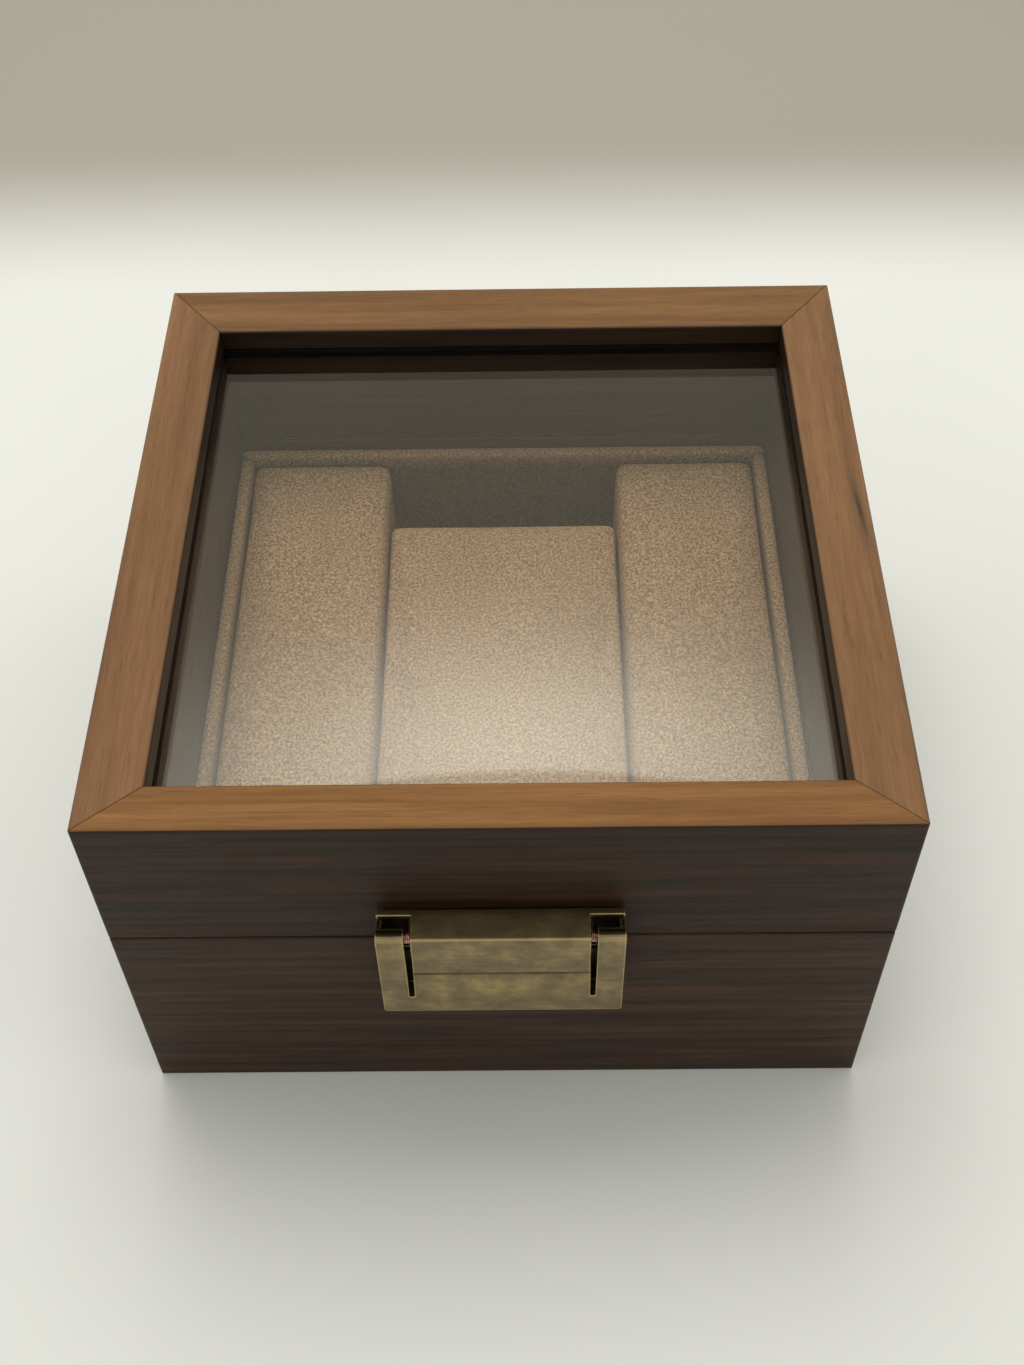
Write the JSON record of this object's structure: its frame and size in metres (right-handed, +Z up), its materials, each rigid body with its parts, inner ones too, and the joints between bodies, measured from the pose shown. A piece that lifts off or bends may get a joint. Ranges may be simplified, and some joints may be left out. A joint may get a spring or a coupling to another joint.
{
  "type": "watch box",
  "caption": "Square wooden watch box with a glazed hinged lid, padded fabric interior, lift-out watch pillow and a sprung metal front latch.",
  "frame": {"origin": "centre of the flat underside, on the surface that the box stands on", "axes": "+Z up; +Y from the latch side to the hinge side; +X to the right seen from the latch side"},
  "size_m": [0.13, 0.1352, 0.0816],
  "materials": {
    "walnut": "satin lacquered walnut veneer",
    "panel_wood": "plain board",
    "suede": "soft suede-like microfibre",
    "felt": "black felt",
    "antique_brass": "antiqued, mottled, satin",
    "copper_wire": "copper-plated pin and spring wire",
    "black_gasket": "matt black strip",
    "glass": "clear polished"
  },
  "bodies": {
    "base": {"base_front_wall": "walnut", "base_back_wall": "walnut", "base_left_wall": "walnut", "base_right_wall": "walnut", "bottom_panel": "panel_wood", "underside_felt": "felt", "floor_lining": "suede", "liner_front": "suede", "liner_back": "suede", "liner_left": "suede", "liner_right": "suede", "side_pad_left": "suede", "side_pad_right": "suede", "latch_housing": "antique_brass", "latch_pin": "copper_wire", "latch_spring_left": "copper_wire", "latch_spring_right": "copper_wire", "latch_housing_screw_left": "antique_brass", "latch_housing_screw_right": "antique_brass", "hinge_base_leaf_left": "antique_brass", "hinge_base_leaf_right": "antique_brass", "hinge_pin_left": "antique_brass", "hinge_pin_right": "antique_brass", "hinge_base_screw_left_inner": "antique_brass", "hinge_base_screw_left_outer": "antique_brass", "hinge_base_screw_right_inner": "antique_brass", "hinge_base_screw_right_outer": "antique_brass"},
    "lid": {"lid_front_rail": "walnut", "lid_back_rail": "walnut", "lid_left_rail": "walnut", "lid_right_rail": "walnut", "glass_pane": "glass", "glass_gasket": "black_gasket", "latch_keeper": "antique_brass", "latch_keeper_screw_left": "antique_brass", "latch_keeper_screw_right": "antique_brass", "hinge_lid_leaf_left": "antique_brass", "hinge_lid_leaf_right": "antique_brass", "hinge_lid_screw_left_inner": "antique_brass", "hinge_lid_screw_left_outer": "antique_brass", "hinge_lid_screw_right_inner": "antique_brass", "hinge_lid_screw_right_outer": "antique_brass"},
    "latch_lever": {"latch_lever": "antique_brass"},
    "watch_pillow": {"watch_pillow": "suede"}
  },
  "joints": [
    {"name": "lid_hinge", "type": "hinge", "parent": "base", "child": "lid", "pos_m": [0, 0.062, 0.0499], "axis": [-1, 0, 0], "range_deg": [0, 95]},
    {"name": "latch_press", "type": "hinge", "parent": "base", "child": "latch_lever", "pos_m": [0, -0.06925, 0.0577], "axis": [-1, 0, 0], "range_deg": [0, 25], "stiffness_Nm_per_rad": 0.03, "springref_deg": -20.05, "deforming": ["latch_spring_left", "latch_spring_right"]},
    {"name": "pillow_lift", "type": "slide", "parent": "base", "child": "watch_pillow", "axis": [0, 0, 1], "range_m": [0, 0.025]}
  ]
}
